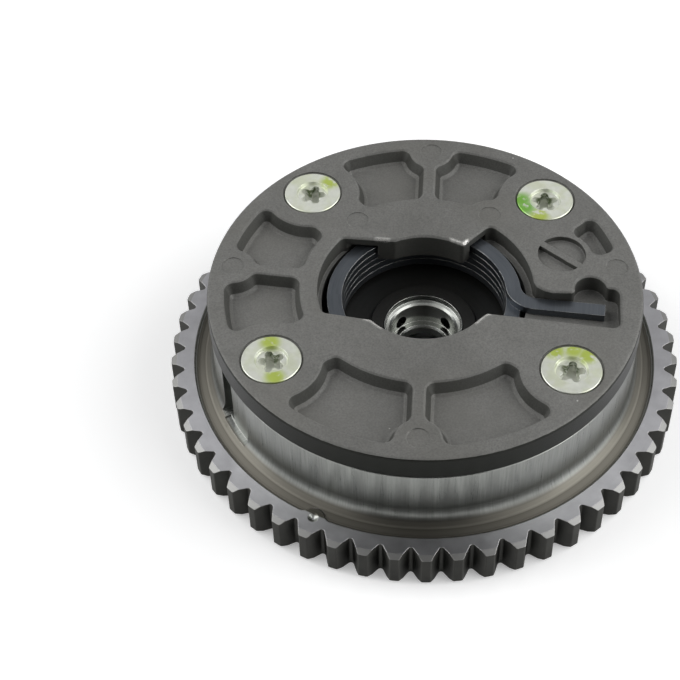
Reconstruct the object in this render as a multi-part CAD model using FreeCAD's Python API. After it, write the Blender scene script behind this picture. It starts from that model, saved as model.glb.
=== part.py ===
import FreeCAD, Part
import math
import os

from FreeCAD import Vector

# Vane type cam phaser with its sprocket. All sizes in millimetres, angles in degrees.
# The origin is on the turning axis in the rear face, +Z runs towards the front cover.
# Angles are counted from +X towards +Y, as seen from the front.

# Heights
TOTAL_H = 28.7
COVER_T = 5.8
REAR_PLATE_T = 4.5
SPROCKET_T = 8.7

# Toothed ring for an inverted tooth chain
TEETH = 54
CHAIN_PITCH = 6.35
ROOT_BELOW_PITCH = 2.605
TOOTH_H = 2.9
ROOT_ROUND = 0.65
TIP_ROUND = 0.45
FLANK_ANGLE = 34.0
FIRST_GAP_ANGLE = 168.36
TOOTH_CHAMFER_R = 1.2
TOOTH_CHAMFER_Z = 0.6

# Outside of the housing
FACE_W = 2.4
FACE_EDGE = 0.3
RELIEF_W = 2.4
RELIEF_DEPTH = 0.9
FOOT_REACH = 1.9
FOOT_ROUND = 4.5
BODY_TOP_EDGE = 0.3
MARK_INSET = 0.6
MARK_ANGLE = 244.9
MARK_PAD_R = 2.5
MARK_PAD_ROUND = 1.6
MARK_DIMPLE_R = 1.1
MARK_DIMPLE_DEPTH = 0.5
CLAMP_GROOVE_ANGLE = 206.9
CLAMP_GROOVE_W = 4.0
CLAMP_GROOVE_DEPTH = 1.9
CLAMP_GROOVE_FOOT = 0.3
CLAMP_LAND_ANGLE = 212.5
CLAMP_LAND_SPAN = 11.0
CLAMP_LAND_DEPTH = 0.35
CLAMP_LAND_FOOT = 0.5

# Chambers and lobes
WALL_T = 4.8
LOBE_HALF_ANGLE = 12.0
CHAMBER_CORNER = 1.2
LOBE_CORNER = 1.0
STOP_CHAMBER = 2

# Cover screws
SCREW_INSET = 8.3
SCREW_ANGLES = (45.3, 132.5, 214.6, 323.5)
SCREW_RECESS_TURN = (90.0, 75.0, 110.0, 80.0)
SCREW_HEAD_R = 6.15
SCREW_HEAD_EDGE = 0.6
SCREW_HEAD_SINK = 0.05
SCREW_SHANK_R = 2.95
SCREW_END_Z = 1.2
SCREW_TIP_CHAMFER = 0.5
SCREW_HOLE_CLEARANCE = 0.25
SCREW_THREAD_CLEARANCE = 0.05
SCREW_SEAT_GAP = 0.4
DISH_R = 3.45
DISH_DEPTH = 0.7
DRIVE_CORE_R = 1.75
DRIVE_LOBE_R = 0.85
DRIVE_LOBE_AT = 2.0
DRIVE_LOBES = 5
DRIVE_DEPTH = 3.0

# Front cover
COVER_OVERHANG = 0.2
COVER_EDGE = 0.6
POCKET_INNER_R = 26.1
POCKET_RIM_W = 3.6
POCKET_DEPTH = 3.2
POCKET_SLOPE = 1.0
POCKET_COVE = 0.6
POCKET_LIP = 0.35
POCKET_CORNER = 2.0
POCKET_LEAST_AREA = 60.0
SCREW_BOSS_R = 10.4
EJECTOR_BOSS_R = 4.8
EJECTOR_R = 2.35
EJECTOR_DEPTH = 0.15
EJECTOR_AT = ((1.0, 41.1), (-14.7, 19.0), (13.9, 21.3), (-40.6, 4.7), (40.4, 6.2), (-0.5, -40.1))
SPOKE_ANGLES = (88.8, 173.4, 269.0)
SPOKE_HALF_W = 1.35
SCREW_WEB_HALF_W = 6.2
POCKET_START_ANGLE = 50.0
POCKET_END_ANGLE = 318.0
DATE_AT = (29.0, 9.9)
DATE_R = 5.1
DATE_DEPTH = 1.2
DATE_BAR_W = 1.5
DATE_BAR_ANGLE = -39.4
DATE_BAR_SHIFT = -0.3
SMALL_POCKET_KEEP_R = 6.4
SMALL_POCKET_INNER_R = 35.0
SMALL_POCKET_START_ANGLE = 8.0
SMALL_POCKET_END_ANGLE = 40.0

# Opening of the cover with the seat of the spring leg
CENTRE_HOLE_R = 14.4
LEFT_BAY_R = 22.4
RIGHT_BAY_R = 23.0
LEG_SEAT_DEPTH = 4.2
OPENING_CORNER = 1.7
OPENING_NOSE = 0.9
OPENING_LIP = 0.4
LEFT_BAY = ((-30.0, 14.5), (-5.0, 12.79), (0.0, 12.0), (0.0, -11.51), (-30.0, -6.23))
RIGHT_BAY = ((0.0, 3.3), (8.9, 12.8), (24.0, 29.0), (30.0, -6.0), (13.0, -7.2), (9.8, -10.4), (0.0, -12.0))
LEG_SLOT = ((13.0, -1.1), (34.0, -1.1), (34.0, 0.3), (40.7, 0.3), (40.2, -10.68), (13.0, -7.2))
TONGUE_EASE = ((22.3, 3.2), (21.5, -1.4), (27.6, -1.4), (25.0, -0.55), (23.5, 0.5))
LEG_BULGE_AT = (34.7, 0.2)
LEG_BULGE_R = 3.35

# Torsion spring
SPRING_MEAN_R = 18.85
SPRING_WIRE_W = 3.1
SPRING_WIRE_H = 1.7
SPRING_PITCH = 1.8
SPRING_TOP_SINK = 2.3
SPRING_END_ANGLE = 276.0
SPRING_FULL_TURNS = 4
LEG_BEND_R = 5.0
LEG_ANGLE = -6.0
LEG_LINE_OFFSET = 0.04
LEG_TIP_X = 37.6
TANG_REACH = 3.0
TANG_BITE_ANGLE = 0.4
SPRING_ROOM = 1.2
SPRING_FLOOR_GAP = 0.45
SPRING_GUIDE_GAP = 0.7
SPRING_HEAD_ROOM = 0.35

# Rotor
HUB_R = 27.0
RUN_CLEARANCE = 0.05
SIDE_CLEARANCE = 0.03
TRAVEL = 30.0
STOP_GAP = 0.4
SIDE_GAP = 1.9
VANE_TIP_CLEARANCE = 0.08
VANE_CORNER = 1.5
VANE_ROOT = 0.8
BOLT_LAND_R = 11.2
BOLT_LAND_H = 0.9
WELL_EDGE = 0.4
NOSE_BORE_R = 14.2
NOSE_DEPTH = 3.0
TANG_SIDE_GAP = 0.4
TANG_NOTCH_ROOM = 0.6
OIL_HOLE_R = 1.3
OIL_ABOVE_LEDGE = 1.6
OIL_BESIDE_VANE = 3.2

# Centre bush with its oil holes
BUSH_R = 8.6
BUSH_STAND = 1.0
BUSH_LIP_R = 8.0
BUSH_LIP_H = 1.3
BUSH_BORE_R = 6.95
BUSH_LEDGE_T = 2.27
BOLT_HOLE_R = 5.3
BUSH_OIL_R = 1.5
BUSH_OIL_ANGLES = (45.0, 135.0, 225.0, 315.0)
BUSH_GROOVE_DEPTH = 0.6
BUSH_GROOVE_H = 3.2

# Tip seals of the vanes and seals of the lobes, each on a leaf spring
SEAL_W = 2.3
SEAL_H = 2.1
SEAL_GROOVE_DEPTH = 3.1
SEAL_SIDE_CLEARANCE = 0.05
SEAL_RUN = 0.02
SEAL_END_CLEARANCE = 0.1
LEAF_W = 1.9
LEAF_T = 0.25
LEAF_GAP = 0.03
WIDE_SEAL_TURN = 9.0

# Lock pin in the wide vane
LOCK_TURN = -9.0
LOCK_OUT = 6.0
LOCK_NOSE_R = 4.0
LOCK_COLLAR_R = 5.2
LOCK_SLIDE_CLEARANCE = 0.05
LOCK_STEP_H = 4.47
LOCK_ENGAGE = 3.5
LOCK_COLLAR_H = 3.0
LOCK_HOLLOW_R = 3.0
LOCK_HOLLOW_FLOOR = 5.0
LOCK_NOSE_SINK = 0.07
LOCK_NOSE_CHAMFER = 0.4
LOCK_CAP_T = 2.0
LOCK_CAP_SINK = 0.1
LOCK_VENT_R = 1.2
LOCK_SPRING_R = 2.45
LOCK_SPRING_WIRE_R = 0.35
LOCK_SPRING_TURNS = 6.0
LOCK_SEAT_R = 6.0
LOCK_SEAT_CLEARANCE = 0.15
LOCK_SEAT_FLOOR = 0.8
LOCK_SEAT_SINK = 0.05

# Rear plate and the timing hole for the dowel of the camshaft
REAR_PLATE_INSET = 1.8
REAR_PLATE_FIT = 0.1
REAR_PLATE_EDGE = 0.4
REAR_HOLE_ROOM = 1.2
DOWEL_HOLE_R = 2.02
DOWEL_INSET = 2.8
DOWEL_ANGLE = 95.0
DOWEL_HOLE_DEPTH = 4.6

# Radii that follow from the sizes above
ROOT_R = CHAIN_PITCH / (2.0 * math.sin(math.pi / TEETH)) - ROOT_BELOW_PITCH
TIP_R = ROOT_R + TOOTH_H
FACE_INNER_R = ROOT_R - FACE_W
RELIEF_INNER_R = FACE_INNER_R - RELIEF_W
BODY_R = RELIEF_INNER_R - FOOT_REACH
MARK_R = FACE_INNER_R + MARK_INSET
CHAMBER_R = BODY_R - WALL_T
LOBE_INNER_R = HUB_R + RUN_CLEARANCE
SCREW_PITCH_R = BODY_R - SCREW_INSET
COVER_R = BODY_R + COVER_OVERHANG
POCKET_OUTER_R = COVER_R - POCKET_RIM_W
REAR_PLATE_R = BODY_R - REAR_PLATE_INSET
SPRING_INNER_R = SPRING_MEAN_R - SPRING_WIRE_W / 2.0
SPRING_OUTER_R = SPRING_MEAN_R + SPRING_WIRE_W / 2.0
WELL_R = SPRING_OUTER_R + SPRING_ROOM
TANG_R = WELL_R + TANG_REACH
LOCK_PITCH_R = HUB_R + LOCK_OUT
REAR_HOLE_R = NOSE_BORE_R + REAR_HOLE_ROOM
DOWEL_PITCH_R = NOSE_BORE_R - DOWEL_INSET

# Heights that follow from the sizes above
COVER_Z = TOTAL_H - COVER_T
ROTOR_Z0 = REAR_PLATE_T + SIDE_CLEARANCE
ROTOR_Z1 = COVER_Z - SIDE_CLEARANCE
NOSE_Z = ROTOR_Z0 + NOSE_DEPTH
SPRING_Z1 = TOTAL_H - SPRING_TOP_SINK
SPRING_Z0 = SPRING_Z1 - SPRING_WIRE_H
BUSH_LEDGE_Z = NOSE_Z + BUSH_LEDGE_T
OIL_ADVANCE_Z = BUSH_LEDGE_Z + OIL_ABOVE_LEDGE
LOCK_STEP_Z = ROTOR_Z0 + LOCK_STEP_H

# Small changes tried where an outline can't be offset by the exact step
OFFSET_NUDGES = (0.0, 0.006, -0.006, 0.02, -0.02, 0.05, -0.05)


def at_angle(r, angle, z=0.0):
    """Point at radius r and an angle round the axis."""
    a = math.radians(angle)
    return Vector(r * math.cos(a), r * math.sin(a), z)


def turned(points):
    """Solid of revolution about the axis from (radius, height) points."""
    ring = [Vector(r, 0, z) for r, z in points]
    face = Part.Face(Part.makePolygon(ring + [ring[0]]))
    return face.revolve(Vector(0, 0, 0), Vector(0, 0, 1), 360)


def cylinder(r, z0, z1, at=None):
    """Upright cylinder between two heights."""
    foot = Vector(at.x, at.y, z0) if at else Vector(0, 0, z0)
    return Part.makeCylinder(r, z1 - z0, foot)


def radial_hole(r, angle, z, r0, r1):
    """Cylinder lying along a radius, from r0 out to r1."""
    return Part.makeCylinder(r, r1 - r0, at_angle(r0, angle, z), at_angle(1.0, angle))


def disc_face(r, x=0.0, y=0.0):
    return Part.Face(Part.Wire(Part.makeCircle(r, Vector(x, y, 0))))


def polygon_face(points):
    """Flat face from its corners, facing up whichever way round they are given."""
    ring = [Vector(x, y, 0) for x, y in points]
    face = Part.Face(Part.makePolygon(ring + [ring[0]]))
    if face.normalAt(0, 0).z > 0:
        return face
    ring.reverse()
    return Part.Face(Part.makePolygon(ring + [ring[0]]))


def sector_face(r1, r2, a1, a2):
    """Piece of a flat ring between two angles."""
    mid = (a1 + a2) / 2.0
    outer = Part.Arc(at_angle(r2, a1), at_angle(r2, mid), at_angle(r2, a2)).toShape()
    inner = Part.Arc(at_angle(r1, a2), at_angle(r1, mid), at_angle(r1, a1)).toShape()
    side1 = Part.makeLine(at_angle(r2, a2), at_angle(r1, a2))
    side2 = Part.makeLine(at_angle(r1, a1), at_angle(r2, a1))
    return Part.Face(Part.Wire([outer, side1, inner, side2]))


def radial_strip(half_w, r0, r1, angle):
    """Flat rectangle lying along a radius."""
    face = polygon_face(((r0, -half_w), (r1, -half_w), (r1, half_w), (r0, half_w)))
    face.rotate(Vector(0, 0, 0), Vector(0, 0, 1), angle)
    return face


def largest(shape):
    """Largest face of a flat shape."""
    return max(shape.Faces, key=lambda f: f.Area)


def joined(faces):
    """One flat face from overlapping ones."""
    shape = faces[0].multiFuse(list(faces[1:])) if len(faces) > 1 else faces[0]
    return largest(shape.removeSplitter())


def grown(face, step):
    """Flat face grown by a step, or shrunk by a negative one; where it fails, a hair more or less."""
    for nudge in OFFSET_NUDGES:
        try:
            return largest(face.makeOffset2D(step + nudge))
        except Part.OCCError:
            continue
    raise ValueError("no outline at a step of %.2f" % step)


def rounded(face, outer, inner):
    """Round the corners of a flat face: its own corners by outer, its notches by inner."""
    return grown(grown(grown(face, -outer), outer + inner), -inner)


def prism(face, z0, z1):
    """Upright block from a flat face."""
    block = face.copy()
    block.translate(Vector(0, 0, z0))
    return block.extrude(Vector(0, 0, z1 - z0))


def sloped(core, levels):
    """Block between outlines of one flat core, grown by the given step at each height."""
    wires = []
    for step, z in levels:
        outline = grown(core, step) if abs(step) > 1e-6 else core
        wire = outline.OuterWire.copy()
        wire.translate(Vector(0, 0, z))
        wires.append(wire)
    return Part.makeLoft(wires, True, True)


def dished(face, top, corner, depth, slope, cove, lip):
    """Cast recess with rounded corners: eased lip, leaning wall and a cove at the floor."""
    core = grown(face, -corner)
    return sloped(core, ((corner + lip, top + lip / 2.0), (corner + lip, top), (corner, top - lip),
                         (corner - slope, top - depth + cove), (corner - slope - cove, top - depth)))


def chambers():
    """Start and end angle of each chamber between two lobes."""
    spans = []
    for i, angle in enumerate(SCREW_ANGLES):
        following = SCREW_ANGLES[(i + 1) % len(SCREW_ANGLES)]
        if following < angle:
            following += 360.0
        spans.append((angle + LOBE_HALF_ANGLE, following - LOBE_HALF_ANGLE))
    return spans


def vane_spans():
    """Start and end angle of each vane, standing at the start of its travel."""
    spans = []
    for i, (start, end) in enumerate(chambers()):
        gap = STOP_GAP if i == STOP_CHAMBER else SIDE_GAP
        spans.append((start + gap, end - TRAVEL - gap))
    return spans


def vane_seal_angle(i):
    """Angle of the tip seal of vane i."""
    start, end = vane_spans()[i]
    turn = WIDE_SEAL_TURN if i == STOP_CHAMBER else 0.0
    return (start + end) / 2.0 + turn


def lock_angle():
    start, end = vane_spans()[STOP_CHAMBER]
    return (start + end) / 2.0 + LOCK_TURN


def lock_point(z=0.0):
    return at_angle(LOCK_PITCH_R, lock_angle(), z)


def screw_points():
    return [at_angle(SCREW_PITCH_R, a) for a in SCREW_ANGLES]


def tooth_outline():
    """Closed outline of the toothed ring: straight flanks, round roots, curved tips."""
    flank = math.radians(FLANK_ANGLE)
    centre = ROOT_R + ROOT_ROUND
    foot_u = centre - ROOT_ROUND * math.sin(flank)
    foot_w = ROOT_ROUND * math.cos(flank)
    du, dw = math.cos(flank), math.sin(flank)
    b = foot_u * du + foot_w * dw
    c = foot_u ** 2 + foot_w ** 2 - TIP_R ** 2
    run = -b + math.sqrt(b * b - c)
    tip_u = foot_u + run * du
    tip_w = foot_w + run * dw
    half_gap = math.atan2(tip_w, tip_u)
    half_turn = (math.pi / 2.0 + half_gap - flank) / 2.0
    setback = TIP_ROUND * math.tan(half_turn)
    sag = TIP_ROUND / math.cos(half_turn) - TIP_ROUND
    round_u = tip_u - sag * math.sin(flank + half_turn)
    round_w = tip_w + sag * math.cos(flank + half_turn)
    bevel_u = tip_u - setback * du
    bevel_w = tip_w - setback * dw
    land_from = math.degrees(half_gap + setback / TIP_R)
    pitch = 360.0 / TEETH
    edges = []
    for i in range(TEETH):
        turn = FIRST_GAP_ANGLE + i * pitch

        def point(u, w):
            return at_angle(math.hypot(u, w), turn + math.degrees(math.atan2(w, u)))

        gap_start = at_angle(TIP_R, turn - land_from)
        land_start = at_angle(TIP_R, turn + land_from)
        land_mid = at_angle(TIP_R, turn + pitch / 2.0)
        land_end = at_angle(TIP_R, turn + pitch - land_from)
        edges.append(Part.Arc(gap_start, point(round_u, -round_w), point(bevel_u, -bevel_w)).toShape())
        edges.append(Part.makeLine(point(bevel_u, -bevel_w), point(foot_u, -foot_w)))
        edges.append(Part.Arc(point(foot_u, -foot_w), point(ROOT_R, 0.0), point(foot_u, foot_w)).toShape())
        edges.append(Part.makeLine(point(foot_u, foot_w), point(bevel_u, bevel_w)))
        edges.append(Part.Arc(point(bevel_u, bevel_w), point(round_u, round_w), land_start).toShape())
        edges.append(Part.Arc(land_start, land_mid, land_end).toShape())
    return Part.Face(Part.Wire(edges))


def face_channel(mark):
    """Turned space inside the raised face; the pad of the timing mark stands into it with round corners."""
    face = largest(disc_face(FACE_INNER_R).cut(disc_face(MARK_PAD_R, mark.x, mark.y)))
    core = grown(face, -MARK_PAD_ROUND)
    return sloped(core, ((MARK_PAD_ROUND, SPROCKET_T - RELIEF_DEPTH), (MARK_PAD_ROUND, SPROCKET_T - FACE_EDGE),
                         (MARK_PAD_ROUND + FACE_EDGE, SPROCKET_T), (MARK_PAD_ROUND + FACE_EDGE, SPROCKET_T + 1.0)))


def toothed_ring(mark):
    """Toothed ring with a turned chamfer on both sides of the teeth and the pad of the timing mark."""
    face_r = TIP_R - TOOTH_CHAMFER_R
    blank = turned(((REAR_PLATE_R, 0.0), (face_r, 0.0), (TIP_R + 0.2, TOOTH_CHAMFER_Z * 1.17),
                    (TIP_R + 0.2, SPROCKET_T - TOOTH_CHAMFER_Z * 1.17), (face_r, SPROCKET_T),
                    (REAR_PLATE_R, SPROCKET_T)))
    return blank.cut(face_channel(mark)).common(prism(tooth_outline(), -1.0, SPROCKET_T + 1.0))


def housing_barrel():
    """Outside of the housing: straight barrel running out in a round foot."""
    foot_r = BODY_R + FOOT_ROUND
    core_r = LOBE_INNER_R - 5.0
    turn = math.acos((foot_r - RELIEF_INNER_R) / FOOT_ROUND)
    crease_z = SPROCKET_T - 0.15
    foot_z = crease_z + FOOT_ROUND * math.sin(turn)
    start = Vector(BODY_R, 0, foot_z)
    mid = Vector(foot_r - FOOT_ROUND * math.cos(turn / 2), 0, foot_z - FOOT_ROUND * math.sin(turn / 2))
    end = Vector(RELIEF_INNER_R, 0, crease_z)
    points = [end, Vector(FACE_INNER_R - 0.6, 0, SPROCKET_T - RELIEF_DEPTH),
              Vector(FACE_INNER_R, 0, SPROCKET_T - RELIEF_DEPTH), Vector(FACE_INNER_R, 0, 0), Vector(core_r, 0, 0),
              Vector(core_r, 0, COVER_Z), Vector(BODY_R - BODY_TOP_EDGE, 0, COVER_Z),
              Vector(BODY_R, 0, COVER_Z - BODY_TOP_EDGE), start]
    edges = [Part.Arc(start, mid, end).toShape()]
    edges += [Part.makeLine(a, b) for a, b in zip(points, points[1:])]
    return Part.Face(Part.Wire(edges)).revolve(Vector(0, 0, 0), Vector(0, 0, 1), 360)


def chamber_void():
    """Flat outline of the space between the lobes."""
    faces = [disc_face(LOBE_INNER_R)]
    faces += [sector_face(LOBE_INNER_R - 2.0, CHAMBER_R, a1, a2) for a1, a2 in chambers()]
    return rounded(joined(faces), CHAMBER_CORNER, LOBE_CORNER)


def clamp_relief():
    """Shallow land with an upright groove on the left of the barrel."""
    foot = SPROCKET_T + CLAMP_LAND_FOOT
    land = sector_face(BODY_R - CLAMP_LAND_DEPTH, BODY_R + 3.0, CLAMP_LAND_ANGLE - CLAMP_LAND_SPAN / 2.0,
                       CLAMP_LAND_ANGLE + CLAMP_LAND_SPAN / 2.0)
    groove = radial_strip(CLAMP_GROOVE_W / 2.0, BODY_R - CLAMP_GROOVE_DEPTH, BODY_R + 3.0, CLAMP_GROOVE_ANGLE)
    return [prism(land, foot, COVER_Z + 1.0), prism(groove, foot + CLAMP_GROOVE_FOOT, COVER_Z + 1.0)]


def sprocket_housing():
    mark = at_angle(MARK_R, MARK_ANGLE)
    body = housing_barrel().fuse(toothed_ring(mark))
    cuts = [prism(chamber_void(), REAR_PLATE_T, COVER_Z + 1.0),
            cylinder(REAR_PLATE_R + REAR_PLATE_FIT, -1.0, REAR_PLATE_T)]
    cuts += clamp_relief()
    for spot in screw_points():
        cuts.append(cylinder(SCREW_SHANK_R + SCREW_HOLE_CLEARANCE, 0.0, COVER_Z + 1.0, spot))
    for angle in SCREW_ANGLES:
        groove = radial_strip(SEAL_W / 2.0 + SEAL_SIDE_CLEARANCE, LOBE_INNER_R - 2.0,
                              LOBE_INNER_R + SEAL_GROOVE_DEPTH, angle)
        cuts.append(prism(groove, REAR_PLATE_T, COVER_Z + 1.0))
    dimple_z = SPROCKET_T - MARK_DIMPLE_DEPTH
    cuts.append(Part.makeCone(0.25, MARK_DIMPLE_R, MARK_DIMPLE_DEPTH, Vector(mark.x, mark.y, dimple_z)))
    return body.cut(cuts)


def pocket_faces():
    """Outlines of the cast recesses round the cover, between screw bosses and spokes."""
    ring = sector_face(POCKET_INNER_R, POCKET_OUTER_R, POCKET_START_ANGLE, POCKET_END_ANGLE)
    bosses = [disc_face(SCREW_BOSS_R, p.x, p.y) for p in screw_points()]
    bosses += [disc_face(EJECTOR_BOSS_R, x, y) for x, y in EJECTOR_AT]
    start_r = POCKET_INNER_R - 2.0
    spokes = [radial_strip(SPOKE_HALF_W, start_r, COVER_R, a) for a in SPOKE_ANGLES]
    spokes += [radial_strip(SCREW_WEB_HALF_W, start_r, SCREW_PITCH_R, a) for a in SCREW_ANGLES]
    open_ring = ring.cut(bosses + spokes)
    faces = [f for f in open_ring.Faces if f.Area > POCKET_LEAST_AREA]
    small = sector_face(SMALL_POCKET_INNER_R, POCKET_OUTER_R, SMALL_POCKET_START_ANGLE, SMALL_POCKET_END_ANGLE)
    small = small.cut(bosses + [disc_face(SMALL_POCKET_KEEP_R, *DATE_AT)])
    faces.append(largest(small))
    return faces


def opening_face():
    """Outline of the central opening with both bays and the slot of the spring leg."""
    left = disc_face(LEFT_BAY_R).common(polygon_face(LEFT_BAY))
    right = disc_face(RIGHT_BAY_R).common(polygon_face(RIGHT_BAY))
    parts = [disc_face(CENTRE_HOLE_R), largest(left), largest(right), polygon_face(LEG_SLOT),
             polygon_face(TONGUE_EASE), disc_face(LEG_BULGE_R, *LEG_BULGE_AT)]
    return rounded(joined(parts), OPENING_CORNER, OPENING_NOSE)


def date_mark():
    """Two half moons left of a round mark by the bar across it."""
    bar = polygon_face(((-DATE_R - 1, DATE_BAR_SHIFT - DATE_BAR_W / 2.0), (DATE_R + 1, DATE_BAR_SHIFT - DATE_BAR_W / 2.0),
                        (DATE_R + 1, DATE_BAR_SHIFT + DATE_BAR_W / 2.0), (-DATE_R - 1, DATE_BAR_SHIFT + DATE_BAR_W / 2.0)))
    bar.rotate(Vector(0, 0, 0), Vector(0, 0, 1), DATE_BAR_ANGLE)
    moons = disc_face(DATE_R).cut(bar)
    moons.translate(Vector(DATE_AT[0], DATE_AT[1], 0))
    return [prism(f, TOTAL_H - DATE_DEPTH, TOTAL_H + 1.0) for f in moons.Faces]


def countersink(spot):
    """Seat of a screw head with a narrow gap round its rim, and the hole below."""
    rim_r = SCREW_HEAD_R + SCREW_SEAT_GAP
    rim_z = TOTAL_H - SCREW_HEAD_SINK - SCREW_HEAD_EDGE + SCREW_SEAT_GAP
    hole_r = SCREW_SHANK_R + SCREW_HOLE_CLEARANCE
    hole_z = rim_z - (rim_r - hole_r)
    cut = turned(((0, COVER_Z - 1), (hole_r, COVER_Z - 1), (hole_r, hole_z), (rim_r, rim_z),
                  (rim_r, TOTAL_H + 1), (0, TOTAL_H + 1)))
    cut.translate(spot)
    return cut


def front_cover():
    edge = COVER_EDGE
    body = turned(((0, COVER_Z), (COVER_R - 0.3, COVER_Z), (COVER_R, COVER_Z + 0.3), (COVER_R, TOTAL_H - edge),
                   (COVER_R - edge * 0.3, TOTAL_H - edge * 0.3), (COVER_R - edge, TOTAL_H), (0, TOTAL_H)))
    opening = opening_face()
    cuts = [sloped(opening, ((OPENING_LIP, TOTAL_H + 0.2), (OPENING_LIP, TOTAL_H), (0.0, TOTAL_H - OPENING_LIP),
                             (0.0, TOTAL_H - LEG_SEAT_DEPTH)))]
    through = largest(opening.common(disc_face(WELL_R)))
    cuts.append(prism(through, COVER_Z - 1.0, TOTAL_H - OPENING_LIP))
    under = disc_face(WELL_R).cut(disc_face(SPRING_INNER_R - SPRING_GUIDE_GAP))
    cuts.append(prism(largest(under), COVER_Z - 1.0, SPRING_Z1 + SPRING_HEAD_ROOM))
    for face in pocket_faces():
        cuts.append(dished(face, TOTAL_H, POCKET_CORNER, POCKET_DEPTH, POCKET_SLOPE, POCKET_COVE, POCKET_LIP))
    cuts += date_mark()
    cuts += [countersink(p) for p in screw_points()]
    for x, y in EJECTOR_AT:
        cuts.append(cylinder(EJECTOR_R, TOTAL_H - EJECTOR_DEPTH, TOTAL_H + 1.0, Vector(x, y, 0)))
    return body.cut(cuts)


def rear_plate():
    edge = REAR_PLATE_EDGE
    body = turned(((REAR_HOLE_R, edge), (REAR_HOLE_R + edge, 0), (REAR_PLATE_R - edge, 0), (REAR_PLATE_R, edge),
                   (REAR_PLATE_R, REAR_PLATE_T), (REAR_HOLE_R, REAR_PLATE_T)))
    cuts = [cylinder(SCREW_SHANK_R + SCREW_THREAD_CLEARANCE, -1.0, REAR_PLATE_T + 1.0, p) for p in screw_points()]
    cuts.append(cylinder(LOCK_SEAT_R, LOCK_SEAT_FLOOR, REAR_PLATE_T + 1.0, lock_point()))
    return body.cut(cuts)


def cover_screw(spot, turn):
    """Countersunk screw with a five lobed drive sunk in a shallow dish."""
    top = TOTAL_H - SCREW_HEAD_SINK
    cone_z = top - SCREW_HEAD_EDGE
    neck_z = cone_z - (SCREW_HEAD_R - SCREW_SHANK_R)
    tip = SCREW_TIP_CHAMFER
    body = turned(((0, SCREW_END_Z), (SCREW_SHANK_R - tip, SCREW_END_Z), (SCREW_SHANK_R, SCREW_END_Z + tip),
                   (SCREW_SHANK_R, neck_z), (SCREW_HEAD_R, cone_z), (SCREW_HEAD_R, top - 0.15),
                   (SCREW_HEAD_R - 0.15, top), (DISH_R, top), (DISH_R - 0.3, top - DISH_DEPTH), (0, top - DISH_DEPTH)))
    lobes = [disc_face(DRIVE_CORE_R)]
    for i in range(DRIVE_LOBES):
        angle = turn + i * 360.0 / DRIVE_LOBES
        tip_at = at_angle(DRIVE_LOBE_AT, angle)
        lobes.append(disc_face(DRIVE_LOBE_R, tip_at.x, tip_at.y))
        lobes.append(radial_strip(DRIVE_LOBE_R, 0.0, DRIVE_LOBE_AT, angle))
    drive = prism(rounded(joined(lobes), 0.3, 0.3), top - DISH_DEPTH - DRIVE_DEPTH, top)
    screw = body.cut(drive)
    screw.translate(spot)
    return screw


def rotor_outline():
    """Flat outline of the hub with its vanes."""
    faces = [disc_face(HUB_R)]
    tip = CHAMBER_R - VANE_TIP_CLEARANCE
    faces += [sector_face(HUB_R - 3.0, tip, a1, a2) for a1, a2 in vane_spans()]
    return rounded(joined(faces), VANE_CORNER, VANE_ROOT)


def rotor():
    body = prism(rotor_outline(), ROTOR_Z0, ROTOR_Z1)
    floor_z = well_floor_z()
    well = turned(((0, floor_z + BOLT_LAND_H), (BOLT_LAND_R, floor_z + BOLT_LAND_H),
                   (BOLT_LAND_R + 0.5, floor_z), (WELL_R - 0.8, floor_z), (WELL_R, floor_z + 0.8),
                   (WELL_R, ROTOR_Z1 - WELL_EDGE), (WELL_R + WELL_EDGE, ROTOR_Z1), (WELL_R + WELL_EDGE, ROTOR_Z1 + 1),
                   (0, ROTOR_Z1 + 1)))
    nose = turned(((0, ROTOR_Z0 - 1), (NOSE_BORE_R + 0.5, ROTOR_Z0 - 1), (NOSE_BORE_R + 0.5, ROTOR_Z0),
                   (NOSE_BORE_R, ROTOR_Z0 + 0.5), (NOSE_BORE_R, NOSE_Z), (0, NOSE_Z)))
    cuts = [well, nose, cylinder(BUSH_R, ROTOR_Z0, floor_z + 3.0)]
    notch_half_w = SPRING_WIRE_W / 2.0 + TANG_SIDE_GAP
    notch = radial_strip(notch_half_w, WELL_R - 3.0, TANG_R + TANG_NOTCH_ROOM, tang_angle())
    cuts.append(prism(notch, floor_z, ROTOR_Z1 + 1.0))
    for i, (start, end) in enumerate(vane_spans()):
        cuts.append(radial_hole(OIL_HOLE_R, start - OIL_BESIDE_VANE, OIL_ADVANCE_Z, BOLT_HOLE_R, HUB_R + 1.0))
        low_z = ROTOR_Z0 + 0.5 + OIL_HOLE_R
        cuts.append(radial_hole(OIL_HOLE_R * 0.85, end + OIL_BESIDE_VANE, low_z, NOSE_BORE_R - 2.0, HUB_R + 1.0))
        tip = CHAMBER_R - VANE_TIP_CLEARANCE
        groove = radial_strip(SEAL_W / 2.0 + SEAL_SIDE_CLEARANCE, tip - SEAL_GROOVE_DEPTH, tip + 2.0, vane_seal_angle(i))
        cuts.append(prism(groove, ROTOR_Z0 - 1.0, ROTOR_Z1 + 1.0))
    cuts.append(cylinder(LOCK_NOSE_R + LOCK_SLIDE_CLEARANCE, 0.0, ROTOR_Z1 + 1.0, lock_point()))
    cuts.append(cylinder(LOCK_COLLAR_R + LOCK_SLIDE_CLEARANCE, LOCK_STEP_Z, ROTOR_Z1 + 1.0, lock_point()))
    dowel_at = at_angle(DOWEL_PITCH_R, DOWEL_ANGLE)
    cuts.append(cylinder(DOWEL_HOLE_R, NOSE_Z - 1.0, NOSE_Z + DOWEL_HOLE_DEPTH, dowel_at))
    return body.cut(cuts)


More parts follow.
